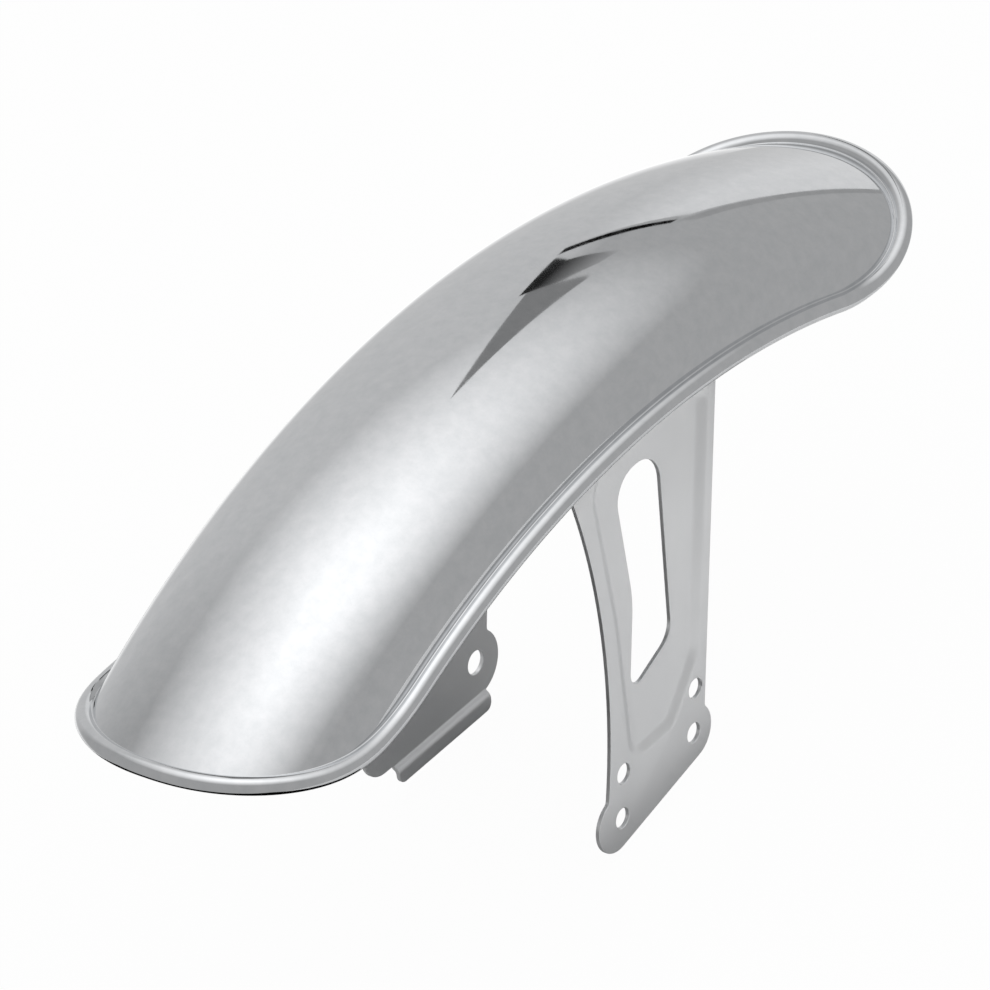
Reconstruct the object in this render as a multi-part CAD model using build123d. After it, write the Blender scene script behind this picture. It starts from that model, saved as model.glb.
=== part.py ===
from build123d import *
import math
import os

# Motorcycle front mudguard: a chromed blade with a rolled rim, carried by two pressed stays.
# Millimetres. X points forward, Y to the rider's left and Z up. The origin lies midway between
# the stays, on the line through their rear lower bolt holes, which is where the fork holds it.

# Blade: an arched sheet with a half-ellipse section
crown_radius = 375.2        # wheel axis to the outside of the crown
crown_height = 162.0        # bolt line to the outside of the crown, straight up
arch_lead = 16.9            # middle of the arch ahead of the bolt line
arch_half_angle = 29.45     # middle of the arch to either end, in degrees
blade_half_width = 48.0
crown_rise = 28.8           # crown to the line where the sides stand upright
skirt_depth = 2.3           # upright part of the side, down to the rim's crease
blade_sheet = 1.0

# Rounded ends of the blade, measured on the sheet laid flat
front_round_length = 67.6
front_round_power = 2.2     # 2 is a plain ellipse, and more is squarer
rear_round_length = 60.8
rear_round_power = 2.0

# Rolled rim round the whole edge
rim_radius = 3.0
rim_sheet = 0.8
rim_stand_off = 0.9         # centre of the roll outside the blade's outer face
rim_start_angle = 232.0     # where the roll leaves the blade's inner face, in degrees
rim_end_angle = -75.0       # where the roll ends, tucked under the edge
trim_margin = 0.8           # blade edge past the crease, inside the roll's wall
stations_per_end = 13

# Stays: pressed plates whose heads follow the inside of the blade
stay_inset = 3.0            # outer face of a stay inside the blade's side
stay_sheet = 1.6
stay_bend_radius = 3.0
weld_gap = 0.1              # plated joint between a head and the blade
head_top_depth = 8.0        # head's top edge below the outside of the crown
head_corner = 9.0
blank_back_angle = 13.0     # sheet of a stay behind the wheel axis, before it is cut, in degrees
blank_sweep = 31.0

# Bolt holes, in two leaning pairs on the left stay
left_hole = 7.0
right_hole = 8.5
pair_pitch = 15.8
pair_lean = 15.3            # the pairs lean back from upright, in degrees
row_length = 42.1
row_drop = 7.9              # the rows fall towards the front, in degrees

# Web between the head and the foot
rear_margin = 5.8           # rear edge behind the line of the rear holes
waist_x = 36.2              # foremost hollow of the front edge
waist_height = 73.0
front_edge_radius = 225.0

# Left foot, round both lower holes
left_foot_radius = 9.8
left_toe_reach = 3.2
foot_notch = 2.0

# Right foot, with a stepped lip along its lower edge
right_heel_radius = 12.2
right_heel_drop = 1.0
right_toe_x = 52.5
right_toe_z = 0.5
right_toe_radius = 9.7
right_notch_height = 7.9    # where the heel meets the web's rear edge
lip_top = 13.4              # bolt line down to the step
lip_slope = 3.0             # the step rises towards the front, in degrees
lip_depth = 5.8             # from the step down to the lip's edge
lip_step = 2.0
lip_rear_x = -2.4
lip_front_x = 48.5
lip_corner = 3.0
lip_bend_radius = 1.2

# Dished panel and lightening slot in each web
dish_depth = 2.0
dish_wall = 5.0             # width of the smooth wall round the panel
dish_front_margin = 5.4     # from the waist of the front edge
dish_top_front_margin = 9.0 # from the front edge at the panel's top
dish_rear_margin = 3.6
dish_below_rim = 2.0
dish_floor_height = 8.4
dish_floor_rear_x = 9.1
dish_floor_front_x = 34.1
dish_floor_rise = 1.0       # front of the floor above its rear
dish_front_drop = 10.0      # bulge of the panel's front below the waist
dish_shoulder_height = 26.4 # where the rear side turns in towards the floor
slot_below_rim = 14.6
slot_floor_height = 33.6
slot_front_margin = 18.7    # from the waist of the front edge
slot_top_width = 24.4
slot_heel_x = 1.0           # low rear corner
slot_heel_rise = 6.6        # above the slot's floor
slot_toe_x = 26.1           # low front corner
slot_toe_drop = 1.8         # below the slot's floor
slot_front_drop = 8.0       # bulge of the slot's front below the waist
slot_front_lean = 0.4

# Corner radii of the panel and the slot
dish_rear_top_radius = 9.0
dish_shoulder_radius = 14.0
dish_heel_radius = 8.0
dish_toe_radius = 9.0
dish_front_radius = 90.0
dish_front_top_radius = 13.0
slot_rear_top_radius = 11.3
slot_heel_radius = 9.0
slot_toe_radius = 4.2
slot_front_radius = 45.0
slot_front_top_radius = 10.5

# Places worked out from the sizes above
axis_height = crown_height - crown_radius
hinge_line = Axis((arch_lead, 0, axis_height), (0, 1, 0))
side_depth = crown_rise + skirt_depth
rim_centre_out = math.sqrt(rim_radius ** 2 - rim_stand_off ** 2)
rim_bottom_height = crown_height - side_depth - rim_centre_out - rim_radius
stay_face = blade_half_width - stay_inset
bolt_low_rear = (0.0, 0.0)
row_angle = math.radians(row_drop)
lean_angle = math.radians(pair_lean)
bolt_low_front = (row_length * math.cos(row_angle), -row_length * math.sin(row_angle))
pair_step = (-pair_pitch * math.sin(lean_angle), pair_pitch * math.cos(lean_angle))
bolt_high_rear = pair_step
bolt_high_front = (bolt_low_front[0] + pair_step[0], bolt_low_front[1] + pair_step[1])


# Blade section

def section_point(angle, inset=0.0):
    """Half-ellipse section: distance from the middle, and depth below the crown."""
    across = (blade_half_width - inset) * math.sin(angle)
    depth = crown_rise - (crown_rise - inset) * math.cos(angle)
    return across, depth


def flat_lengths(steps=240):
    """Distance over the sheet from the crown to each of many equal angles of the section."""
    lengths = [0.0]
    for i in range(steps):
        first = section_point(math.pi / 2 * i / steps)
        second = section_point(math.pi / 2 * (i + 1) / steps)
        lengths.append(lengths[-1] + math.dist(first, second))
    return lengths


section_lengths = flat_lengths()
flat_half_width = section_lengths[-1] + skirt_depth


def section_at(flat):
    """Point of the section at a signed distance over the sheet from the crown."""
    reach = min(abs(flat), flat_half_width)
    side = 1.0 if flat >= 0 else -1.0
    if reach >= section_lengths[-1]:
        return side * blade_half_width, crown_rise + reach - section_lengths[-1]
    steps = len(section_lengths) - 1
    i = max(k for k in range(steps) if section_lengths[k] <= reach)
    part = (reach - section_lengths[i]) / (section_lengths[i + 1] - section_lengths[i])
    across, depth = section_point(math.pi / 2 * (i + part) / steps)
    return side * across, depth


# Edge of the blade

def end_setback(flat, length, power):
    """How far the rounded end has drawn back from its tip, at a distance from the crown."""
    ratio = min(abs(flat) / flat_half_width, 1.0)
    return length * (1.0 - (1.0 - ratio ** power) ** (1.0 / power))


def edge_point(turn, front):
    """Point of the crease line, where turn runs from -90 degrees on the right side to 90 on the left."""
    length = front_round_length if front else rear_round_length
    power = front_round_power if front else rear_round_power
    wave = math.sin(math.radians(turn))
    flat = flat_half_width * math.copysign(abs(wave) ** (2.0 / power), wave)
    across, depth = section_at(flat)
    arc = math.radians(arch_half_angle) - end_setback(flat, length, power) / crown_radius
    angle = arc if front else -arc
    return on_arch(angle, across, depth)


def on_arch(angle, across, depth):
    """Point at an angle ahead of the arch's middle, across it and below the crown."""
    radius = crown_radius - depth
    return Vector(arch_lead + radius * math.sin(angle), across, axis_height + radius * math.cos(angle))


def blade_normal(point):
    """Outward direction of the blade's outer face at one of its points."""
    from_axis = Vector(point.X - arch_lead, 0, point.Z - axis_height)
    depth = crown_radius - from_axis.length
    if depth >= crown_rise:
        return Vector(0, math.copysign(1.0, point.Y), 0)
    lift = (crown_rise - depth) / crown_rise ** 2
    lean = point.Y / blade_half_width ** 2
    return (from_axis.normalized() * lift + Vector(0, lean, 0)).normalized()


def edge_frame(turn, front):
    """Point on the crease, the direction out of the sheet's edge and the face's normal."""
    here = edge_point(turn, front)
    normal = blade_normal(here)
    to_axis = Vector(arch_lead - here.X, 0, axis_height - here.Z).normalized()
    if abs(turn) == 90.0:
        return here, to_axis, normal
    small = 0.02
    along = (edge_point(turn + small, front) - edge_point(turn - small, front)).normalized()
    outward = along.cross(normal).normalized()
    away = to_axis if abs(turn) > 45 else Vector(here.X - arch_lead, 0, 0)
    return here, outward * math.copysign(1.0, outward.dot(away)), normal


def end_turns():
    """Stations round a rounded end, from side to side."""
    return [-90.0 + 180.0 * i / (stations_per_end - 1) for i in range(stations_per_end)]


# Rolled rim

def rim_wire(frame):
    """C-shaped section of the roll, in the plane square to the edge."""
    here, outward, normal = frame

    def place(radius, degrees):
        angle = math.radians(degrees)
        out = rim_centre_out + radius * math.cos(angle)
        up = rim_stand_off + radius * math.sin(angle)
        return here + outward * out + normal * up

    middle = (rim_start_angle + rim_end_angle) / 2
    inner = rim_radius - rim_sheet
    outer_arc = ThreePointArc(
        place(rim_radius, rim_start_angle), place(rim_radius, middle), place(rim_radius, rim_end_angle))
    end_line = Line(place(rim_radius, rim_end_angle), place(inner, rim_end_angle))
    inner_arc = ThreePointArc(
        place(inner, rim_end_angle), place(inner, middle), place(inner, rim_start_angle))
    start_line = Line(place(inner, rim_start_angle), place(rim_radius, rim_start_angle))
    return Wire([outer_arc, end_line, inner_arc, start_line])


def end_rim(front):
    """Roll round one end of the blade."""
    return Solid.make_loft([rim_wire(edge_frame(turn, front)) for turn in end_turns()], False)


def side_angles():
    """Arch angles where the straight side starts at the rear and ends at the front."""
    half = math.radians(arch_half_angle)
    return -half + rear_round_length / crown_radius, half - front_round_length / crown_radius


def side_rim(side):
    """Roll along one straight side, where side is 1 for the left and -1 for the right."""
    rear, front = side_angles()
    here = on_arch(0.0, side * blade_half_width, side_depth)
    face = Face(rim_wire((here, Vector(0, 0, -1), Vector(0, side, 0))))
    return revolve(face.rotate(hinge_line, math.degrees(rear)), hinge_line, math.degrees(front - rear))


# Blade sheet

def blade_section():
    """Section of the sheet at the arch's middle, with its skirt left long for trimming."""
    middle = Plane(origin=(arch_lead, 0, crown_height - crown_rise), x_dir=(0, 1, 0), z_dir=(1, 0, 0))
    long_skirt = skirt_depth + 2 * trim_margin
    skirts = Pos(0, -long_skirt / 2) * Rectangle(2 * blade_half_width, long_skirt)
    outer = Ellipse(blade_half_width, crown_rise) + skirts
    inner_half = blade_half_width - blade_sheet
    inner_rise = crown_rise - blade_sheet
    inner = Ellipse(inner_half, inner_rise) + Pos(0, -crown_rise) * Rectangle(2 * inner_half, 2 * crown_rise)
    keep = Pos(0, (crown_rise - long_skirt) / 2) * Rectangle(3 * blade_half_width, crown_rise + long_skirt)
    return middle * ((outer & keep) - inner)


def trim_points(front):
    """Side view of the blade's cut edge, from the bottom of the side up to the crown."""
    points = []
    for turn in end_turns():
        if turn <= 0.001:
            here, outward, normal = edge_frame(turn, front)
            edge = here + outward * trim_margin
            points.append(Vector(edge.X, 0, edge.Z))
    return points


def trim_prism():
    """Everything above the cut edge, as seen from the side."""
    rear_points = trim_points(False)
    front_points = trim_points(True)
    spare = 12.0
    middle_low = Vector(arch_lead, 0, crown_height - side_depth - trim_margin)
    edges = [ThreePointArc(rear_points[0], middle_low, front_points[0])]
    tips = []
    for points in (rear_points, front_points):
        curve = Spline(*points)
        tip_direction = (points[-1] - points[-2]).normalized()
        tip = points[-1] + tip_direction * spare
        edges += [curve, Line(points[-1], tip)]
        tips.append(tip)
    rear_high = Vector(tips[0].X, 0, crown_height + spare)
    front_high = Vector(tips[1].X, 0, crown_height + spare)
    edges += [Line(tips[0], rear_high), Line(rear_high, front_high), Line(front_high, tips[1])]
    return extrude(Face(Wire(edges)), amount=2 * blade_half_width, dir=(0, 1, 0), both=True)


def guard_blade():
    """Arched sheet with its rolled rim, one pressing."""
    spare_angle = 4.0
    sweep = 2 * (arch_half_angle + spare_angle)
    sheet = revolve(blade_section(), hinge_line, sweep).rotate(hinge_line, -sweep / 2)
    roll = end_rim(True) + side_rim(1) + end_rim(False) + side_rim(-1)
    return (sheet & trim_prism()) + roll


# Outlines seen from the side

def side_plane(across):
    """Plane of the side view, with its own y pointing up, at a distance across."""
    return Plane(origin=(0, across, 0), x_dir=(1, 0, 0), z_dir=(0, -1, 0))


def side_prism(sketch):
    """Outline of the side view, made solid right across the mudguard."""
    return extrude(side_plane(0) * sketch, amount=2 * blade_half_width, both=True)


def direction(start, end):
    """Unit direction from one point of the side view to another."""
    length = math.dist(start[:2], end[:2])
    return (end[0] - start[0]) / length, (end[1] - start[1]) / length


def inset_corners(corners, inset):
    """The same anticlockwise polygon with every side moved inwards and its radii kept concentric."""
    moved = []
    for i in range(len(corners)):
        here = corners[i]
        came = direction(corners[i - 1], here)
        goes = direction(here, corners[(i + 1) % len(corners)])
        share = inset / (1.0 + came[0] * goes[0] + came[1] * goes[1])
        turn = came[0] * goes[1] - came[1] * goes[0]
        x = here[0] - share * (came[1] + goes[1])
        z = here[1] + share * (came[0] + goes[0])
        moved.append((x, z, here[2] - math.copysign(inset, turn)))
    return moved


def rounded_wire(corners, across):
    """Closed wire of lines and tangent arcs, with a radius at each corner."""
    arcs = []
    for i in range(len(corners)):
        here = corners[i]
        came = direction(corners[i - 1], here)
        goes = direction(here, corners[(i + 1) % len(corners)])
        half_turn = math.acos(came[0] * goes[0] + came[1] * goes[1]) / 2
        reach = here[2] * math.tan(half_turn)
        start = (here[0] - came[0] * reach, here[1] - came[1] * reach)
        end = (here[0] + goes[0] * reach, here[1] + goes[1] * reach)
        inward = direction((0, 0), (goes[0] - came[0], goes[1] - came[1]))
        dip = here[2] * (1 / math.cos(half_turn) - 1)
        middle = (here[0] + inward[0] * dip, here[1] + inward[1] * dip)
        arcs.append([Vector(p[0], across, p[1]) for p in (start, middle, end)])
    edges = []
    for i in range(len(arcs)):
        edges.append(Line(arcs[i - 1][2], arcs[i][0]))
        edges.append(ThreePointArc(*arcs[i]))
    return Wire(edges)


def front_edge_x(height):
    """Hollow front edge of the web, an arc about its waist."""
    drop = height - waist_height
    return waist_x + front_edge_radius - math.sqrt(front_edge_radius ** 2 - drop ** 2)


def rear_edge_x(height):
    """Straight rear edge of the web, level with the lean of the hole pairs."""
    return -rear_margin / math.cos(lean_angle) - height * math.tan(lean_angle)


def web_outline():
    """Web and head together, from inside the foot up to the head's top."""
    top_radius = crown_radius - head_top_depth
    high = crown_height
    low = (bolt_low_front[1] + bolt_low_rear[1]) / 2
    arch_top = Pos(arch_lead, axis_height) * Circle(top_radius)
    front_low = (front_edge_x(low), low)
    front_high = (front_edge_x(high), high)
    edge = ThreePointArc(front_low, (waist_x, waist_height), front_high)
    top = Line(front_high, (rear_edge_x(high), high))
    rear = Line((rear_edge_x(high), high), (rear_edge_x(low), low))
    bottom = Line((rear_edge_x(low), low), front_low)
    web = make_face([edge, top, rear, bottom]) & arch_top
    ends = web.vertices().sort_by(Axis.Y)[-2:]
    return fillet(ends, head_corner)


def two_lobes(first, first_radius, second, second_radius):
    """Plate outline wrapped round two circles."""
    length = math.dist(first, second)
    heading = math.atan2(second[1] - first[1], second[0] - first[0])
    swing = math.acos((first_radius - second_radius) / length)
    corners = []
    for centre, radius, side in (
            (first, first_radius, -1), (second, second_radius, -1),
            (second, second_radius, 1), (first, first_radius, 1)):
        angle = heading + side * swing
        corners.append((centre[0] + radius * math.cos(angle), centre[1] + radius * math.sin(angle)))
    body = make_face(Polyline(*corners, close=True))
    return body + Pos(*first) * Circle(first_radius) + Pos(*second) * Circle(second_radius)


def soften_notches(sketch, places):
    """Small radius where the web runs into the foot, at the corner nearest to each place."""
    for x, z in places:
        corner = sorted(sketch.vertices(), key=lambda v: math.dist((v.X, v.Y), (x, z)))[0]
        sketch = fillet(corner, foot_notch)
    return sketch


# Pressed stays

def stay_section():
    """Section of a left stay's blank: an upright plate whose head follows the inside of the blade."""
    centre_height = crown_height - crown_rise
    middle = Plane(origin=(arch_lead, 0, centre_height), x_dir=(0, 1, 0), z_dir=(1, 0, 0))
    low = -centre_height - 3 * left_foot_radius

    def filled(inset, face):
        half = blade_half_width - blade_sheet - weld_gap - inset
        rise = crown_rise - blade_sheet - weld_gap - inset
        below = Pos(0, low / 2) * Rectangle(2 * half, -low)
        keep = Pos(face / 2, (rise + low) / 2) * Rectangle(face, rise - low)
        return (Ellipse(half, rise) + below) & keep

    section = filled(0, stay_face) - filled(stay_sheet, stay_face - stay_sheet)
    outer_radius = stay_bend_radius + stay_sheet
    for face, radius in ((stay_face, outer_radius), (stay_face - stay_sheet, stay_bend_radius)):
        on_face = [v for v in section.vertices() if abs(v.X - face) < 0.01]
        section = fillet(max(on_face, key=lambda v: v.Y), radius)
    return middle * section


def stay_blank():
    """Sheet of a left stay before its outline is cut, turned about the wheel axis."""
    return revolve(stay_section(), hinge_line, blank_sweep).rotate(hinge_line, -blank_back_angle)


def panel_corners():
    """Dished panel, a pocket with a plain margin all round; each corner has its radius."""
    top = rim_bottom_height - dish_below_rim
    shoulder = dish_shoulder_height
    return [
        (rear_edge_x(top) + dish_rear_margin, top, dish_rear_top_radius),
        (rear_edge_x(shoulder) + dish_rear_margin, shoulder, dish_shoulder_radius),
        (dish_floor_rear_x, dish_floor_height, dish_heel_radius),
        (dish_floor_front_x, dish_floor_height + dish_floor_rise, dish_toe_radius),
        (waist_x - dish_front_margin, waist_height - dish_front_drop, dish_front_radius),
        (front_edge_x(top) - dish_top_front_margin, top, dish_front_top_radius),
    ]


def slot_corners():
    """Bean-shaped lightening slot in the panel's floor; each corner has its radius."""
    top = rim_bottom_height - slot_below_rim
    front = waist_x - slot_front_margin
    rear = front - slot_top_width
    return [
        (rear, top, slot_rear_top_radius),
        (slot_heel_x, slot_floor_height + slot_heel_rise, slot_heel_radius),
        (slot_toe_x, slot_floor_height - slot_toe_drop, slot_toe_radius),
        (front - slot_front_lean, waist_height - slot_front_drop, slot_front_radius),
        (front, top, slot_front_top_radius),
    ]


def dish_sections(start_face):
    """Loops of the panel's smooth wall, from the sheet's own level in to the floor."""
    loops = []
    steps = 4
    for i in range(steps + 1):
        part = i / steps
        ease = part * part * (3 - 2 * part)
        corners = inset_corners(panel_corners(), dish_wall * part)
        loops.append(rounded_wire(corners, start_face - dish_depth * ease))
    return loops


def dish(plate):
    """Presses the panel inwards, with the sheet's own thickness kept behind it."""
    hollow = Solid.make_loft(dish_sections(stay_face), False)
    backing = Solid.make_loft(dish_sections(stay_face - stay_sheet), False)
    slot = make_face(rounded_wire(slot_corners(), 0))
    slot_prism = extrude(slot, amount=2 * blade_half_width, dir=(0, 1, 0), both=True)
    return plate + backing - hollow - slot_prism


def bolt_hole(place, diameter):
    """Round hole across a stay."""
    return side_prism(Pos(*place) * Circle(diameter / 2))


def left_stay():
    """Left stay, with four holes in its foot."""
    heading = direction(bolt_low_rear, bolt_low_front)
    toe = (bolt_low_front[0] + left_toe_reach * heading[0], bolt_low_front[1] + left_toe_reach * heading[1])
    foot = two_lobes(bolt_low_rear, left_foot_radius, toe, left_foot_radius)
    outline = web_outline() + foot
    notch_height = left_foot_radius / 2
    front_notch = (front_edge_x(notch_height), bolt_low_front[1] + left_foot_radius)
    notches = [(rear_edge_x(notch_height), notch_height), front_notch]
    outline = soften_notches(outline, notches)
    plate = dish(stay_blank() & side_prism(outline))
    for place in (bolt_low_rear, bolt_low_front, bolt_high_rear, bolt_high_front):
        plate -= bolt_hole(place, left_hole)
    return plate


def lip_frame(along, up):
    """Side-view point at a distance along the lip's step line and above it."""
    slope = math.radians(lip_slope)
    x = along * math.cos(slope) - up * math.sin(slope)
    return x, -lip_top + along * math.sin(slope) + up * math.cos(slope)


def lip_half_height():
    """Half the height of the lip's S-bend, made of two arcs that meet."""
    bend = lip_bend_radius + stay_sheet / 2
    return bend * math.sin(math.acos(1 - lip_step / (2 * bend)))


def lip_section():
    """Section of the stepped lip, with a piece of the flat foot above it."""
    slope = math.radians(lip_slope)
    square_on = Plane(origin=(0, 0, -lip_top), x_dir=(0, 1, 0), z_dir=(math.cos(slope), 0, math.sin(slope)))
    half = lip_half_height()
    swing = math.acos(1 - lip_step / (2 * lip_bend_radius + stay_sheet))
    low_face = stay_face - lip_step
    upper = (stay_face - stay_sheet - lip_bend_radius, half)
    lower = (low_face + lip_bend_radius, -half)
    small = lip_bend_radius
    large = lip_bend_radius + stay_sheet

    def at(centre, radius, angle):
        return centre[0] + radius * math.cos(angle), centre[1] + radius * math.sin(angle)

    def bend(centre, radius, first, last):
        middle = (first + last) / 2
        return ThreePointArc(at(centre, radius, first), at(centre, radius, middle), at(centre, radius, last))

    top = 2 * half
    edges = [
        Line((stay_face, top), (stay_face, half)),
        bend(upper, large, 0, -swing),
        bend(lower, small, math.pi - swing, math.pi),
        Line((low_face, -half), (low_face, -lip_depth)),
        Line((low_face, -lip_depth), (low_face - stay_sheet, -lip_depth)),
        Line((low_face - stay_sheet, -lip_depth), (low_face - stay_sheet, -half)),
        bend(lower, large, math.pi, math.pi - swing),
        bend(upper, small, -swing, 0),
        Line((stay_face - stay_sheet, half), (stay_face - stay_sheet, top)),
        Line((stay_face - stay_sheet, top), (stay_face, top)),
    ]
    return square_on * make_face(edges)


def lip_window(bottom, top):
    """Side view of the lip's length, between two levels above its step line."""
    ends = ((lip_rear_x, bottom), (lip_front_x, bottom), (lip_front_x, top), (lip_rear_x, top))
    return make_face(Polyline(*[lip_frame(along, up) for along, up in ends], close=True))


def stepped_lip():
    """Lip that steps inwards along the right foot's lower edge."""
    bar = extrude(lip_section(), amount=2 * right_toe_x, both=True)
    window = lip_window(-lip_depth, 2 * lip_half_height())
    window = fillet(window.vertices().sort_by(Axis.Y)[:2], lip_corner)
    return bar & side_prism(window)


def right_stay():
    """Right stay, with a stepped lip and two larger holes; made as a left stay and mirrored."""
    heel = (0.0, -right_heel_drop)
    foot = two_lobes(heel, right_heel_radius, (right_toe_x, right_toe_z), right_toe_radius)
    outline = web_outline() + foot
    rear_notch = (rear_edge_x(right_notch_height), right_notch_height)
    notches = [rear_notch, (front_edge_x(right_toe_radius), right_toe_radius)]
    outline = soften_notches(outline, notches)
    plate = dish(stay_blank() & side_prism(outline))
    plate -= side_prism(lip_window(-2 * lip_depth, lip_half_height()))
    plate += stepped_lip()
    for place in (bolt_low_rear, bolt_high_front):
        plate -= bolt_hole(place, right_hole)
    return mirror(plate, Plane.XZ)


if __name__ == "__main__":
    os.makedirs("parts", exist_ok=True)
    export_step(guard_blade(), "parts/guard_blade.step")
    export_step(left_stay(), "parts/left_stay.step")
    export_step(right_stay(), "parts/right_stay.step")
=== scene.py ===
"""Looks of a chromed motorcycle front mudguard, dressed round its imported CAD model.

Sizes are in millimetres in the CAD frame, X forwards, Y to the rider's left and Z up, and become
metres through the constant MM. The blade is remeshed finely from the same sizes as the CAD solid,
because a mirror finish shows every facet.
"""

from __future__ import annotations

import logging
import math
from collections.abc import Callable, Mapping
from dataclasses import dataclass
from enum import Enum

import bpy
from mathutils import Matrix, Quaternion, Vector
from mathutils.bvhtree import BVHTree

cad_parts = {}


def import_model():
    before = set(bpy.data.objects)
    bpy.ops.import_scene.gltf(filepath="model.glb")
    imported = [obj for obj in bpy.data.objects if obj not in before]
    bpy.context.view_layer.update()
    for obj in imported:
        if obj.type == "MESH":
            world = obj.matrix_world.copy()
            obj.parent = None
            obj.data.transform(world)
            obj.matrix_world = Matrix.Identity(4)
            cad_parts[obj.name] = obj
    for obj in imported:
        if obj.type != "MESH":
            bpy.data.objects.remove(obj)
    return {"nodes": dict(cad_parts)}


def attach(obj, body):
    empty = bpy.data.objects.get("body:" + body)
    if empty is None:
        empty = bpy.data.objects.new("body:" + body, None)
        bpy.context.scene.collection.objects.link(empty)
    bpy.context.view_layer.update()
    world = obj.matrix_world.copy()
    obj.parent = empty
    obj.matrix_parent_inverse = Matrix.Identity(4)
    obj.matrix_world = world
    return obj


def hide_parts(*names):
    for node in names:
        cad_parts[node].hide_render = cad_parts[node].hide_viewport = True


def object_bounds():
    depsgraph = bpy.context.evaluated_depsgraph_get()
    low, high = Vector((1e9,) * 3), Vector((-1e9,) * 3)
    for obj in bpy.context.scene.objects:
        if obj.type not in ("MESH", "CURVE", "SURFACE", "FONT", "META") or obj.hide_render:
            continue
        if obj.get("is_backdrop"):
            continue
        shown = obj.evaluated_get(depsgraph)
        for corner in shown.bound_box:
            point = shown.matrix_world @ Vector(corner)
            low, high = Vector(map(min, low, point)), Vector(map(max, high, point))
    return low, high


MM = 0.001
BODY = "root"
SHARP_ANGLE = 40.0

# Places of the colour sockets on a Mix node, which share their names with its other kinds.
MIX_SHARE, MIX_FIRST, MIX_SECOND, MIX_RESULT = 0, 6, 7, 2

log = logging.getLogger("mudguard")


def linear_colour(hex_colour: str) -> tuple[float, float, float, float]:
    """Turn an sRGB hex colour into Blender's linear colour.

    Args:
        hex_colour: Six hex digits, with or without a leading hash.

    Returns:
        Linear red, green, blue and an alpha of 1.
    """
    digits = hex_colour.lstrip("#")
    channels = [int(digits[i : i + 2], 16) / 255 for i in (0, 2, 4)]
    linear = [c / 12.92 if c <= 0.04045 else ((c + 0.055) / 1.055) ** 2.4 for c in channels]
    return linear[0], linear[1], linear[2], 1.0


def add_node(
    tree: bpy.types.NodeTree,
    kind: str,
    values: Mapping[str | int, object] | None = None,
    links: Mapping[str | int, bpy.types.NodeSocket] | None = None,
    **settings: object,
) -> bpy.types.Node:
    """Add one shader node with its settings, socket values and incoming links.

    Args:
        tree: Node tree that gets the node.
        kind: Blender's type name of the node.
        values: Socket values by input name or number.
        links: Output sockets to join to inputs, by input name or number.
        **settings: Properties of the node itself.

    Returns:
        The new node.
    """
    node = tree.nodes.new(kind)
    for name, value in settings.items():
        setattr(node, name, value)
    for key, value in (values or {}).items():
        node.inputs[key].default_value = value
    for key, socket in (links or {}).items():
        tree.links.new(socket, node.inputs[key])
    return node


def fill_ramp(node: bpy.types.Node, stops: list[tuple[float, str]]) -> None:
    """Set a colour ramp's stops.

    Args:
        node: Colour ramp node.
        stops: Positions from 0 to 1 with their sRGB hex colours.
    """
    elements = node.color_ramp.elements
    while len(elements) < len(stops):
        elements.new(1.0)
    for element, (position, colour) in zip(elements, stops):
        element.position = position
        element.color = linear_colour(colour)


def empty_material(name: str) -> tuple[bpy.types.Material, bpy.types.NodeTree]:
    """Make a material with an empty node tree.

    Args:
        name: Name of the real finish.

    Returns:
        The material and its tree.
    """
    material = bpy.data.materials.new(name)
    material.use_nodes = True
    material.node_tree.nodes.clear()
    return material, material.node_tree


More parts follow.
